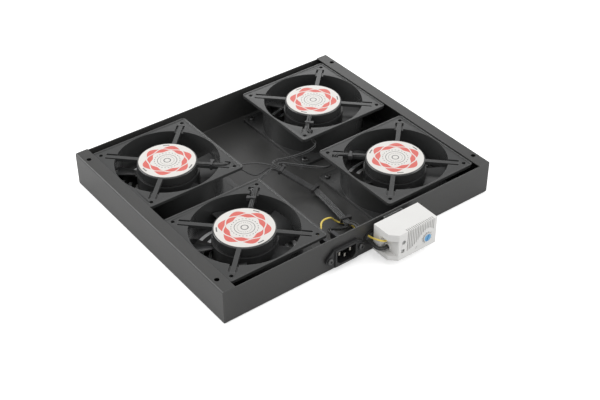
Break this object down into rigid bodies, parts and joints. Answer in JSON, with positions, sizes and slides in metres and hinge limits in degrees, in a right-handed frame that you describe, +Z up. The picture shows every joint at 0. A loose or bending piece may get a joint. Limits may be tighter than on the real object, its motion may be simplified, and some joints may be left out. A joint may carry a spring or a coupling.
{
  "type": "rack fan tray",
  "caption": "Flat folded tray with grilles, axial fans wired to a mains inlet and a thermostat, which blows air up through a cabinet.",
  "frame": {"origin": "centre of the flat underside of the tray, on its base face", "axes": "+X along the long front, +Y from the thermostat side to the rear, +Z up, the way the air blows"},
  "size_m": [0.35, 0.3237, 0.041],
  "materials": {
    "tray": "satin black powder coat on folded steel sheet",
    "fan_housing": "satin black paint on die-cast aluminium",
    "impeller": "black glass-filled plastic",
    "steel": "ground steel",
    "stator": "laminated steel and enamelled copper windings",
    "label": "printed white film with a red pattern",
    "black_wire": "black flexible insulation",
    "yellow_wire": "yellow flexible insulation",
    "tie": "black nylon",
    "inlet": "black moulded plastic",
    "pin_metal": "nickel-plated brass",
    "sleeve": "black flexible sleeve",
    "grommet": "black rubber",
    "case": "light grey moulded plastic",
    "dial": "blue moulded plastic",
    "switch": "dark moulded plastic",
    "terminal": "zinc-plated steel",
    "rail": "zinc-plated steel",
    "rivet": "plain aluminium"
  },
  "bodies": {
    "tray": {"tray_shell": "tray", "fan_a_frame": "fan_housing", "fan_a_stator": "stator", "fan_a_label": "label", "fan_a_leads": "black_wire", "fan_a_tie": "tie", "fan_b_frame": "fan_housing", "fan_b_stator": "stator", "fan_b_label": "label", "fan_b_leads": "black_wire", "fan_b_tie": "tie", "fan_c_frame": "fan_housing", "fan_c_stator": "stator", "fan_c_label": "label", "fan_c_leads": "black_wire", "fan_c_tie": "tie", "fan_d_frame": "fan_housing", "fan_d_stator": "stator", "fan_d_label": "label", "fan_d_leads": "black_wire", "fan_d_tie": "tie", "inlet_body": "inlet", "inlet_pins": "pin_metal", "inlet_receptacles": "sleeve", "wire_grommet": "grommet", "thermostat_case": "case", "thermostat_back": "case", "thermostat_switch": "switch", "thermostat_terminals": "terminal", "thermostat_collar": "case", "din_rail": "rail", "rail_rivets": "rivet", "supply_wire": "yellow_wire", "harness_ties": "tie"},
    "rotor_a": {"fan_a_impeller": "impeller", "fan_a_shaft": "steel"},
    "rotor_b": {"fan_b_impeller": "impeller", "fan_b_shaft": "steel"},
    "rotor_c": {"fan_c_impeller": "impeller", "fan_c_shaft": "steel"},
    "rotor_d": {"fan_d_impeller": "impeller", "fan_d_shaft": "steel"},
    "dial": {"thermostat_dial": "dial"}
  },
  "joints": [
    {"name": "fan_a_spin", "type": "hinge", "parent": "tray", "child": "rotor_a", "pos_m": [-0.1005, 0.0732, 0.02], "axis": [0, 0, 1], "continuous": true},
    {"name": "fan_b_spin", "type": "hinge", "parent": "tray", "child": "rotor_b", "pos_m": [-0.1005, -0.0732, 0.02], "axis": [0, 0, 1], "continuous": true},
    {"name": "fan_c_spin", "type": "hinge", "parent": "tray", "child": "rotor_c", "pos_m": [0.1005, 0.0732, 0.02], "axis": [0, 0, 1], "continuous": true},
    {"name": "fan_d_spin", "type": "hinge", "parent": "tray", "child": "rotor_d", "pos_m": [0.1005, -0.0732, 0.02], "axis": [0, 0, 1], "continuous": true},
    {"name": "dial_turn", "type": "hinge", "parent": "tray", "child": "dial", "pos_m": [0.0525, -0.1795, 0.0196], "axis": [0, -1, 0], "range_deg": [-150, 120]}
  ]
}
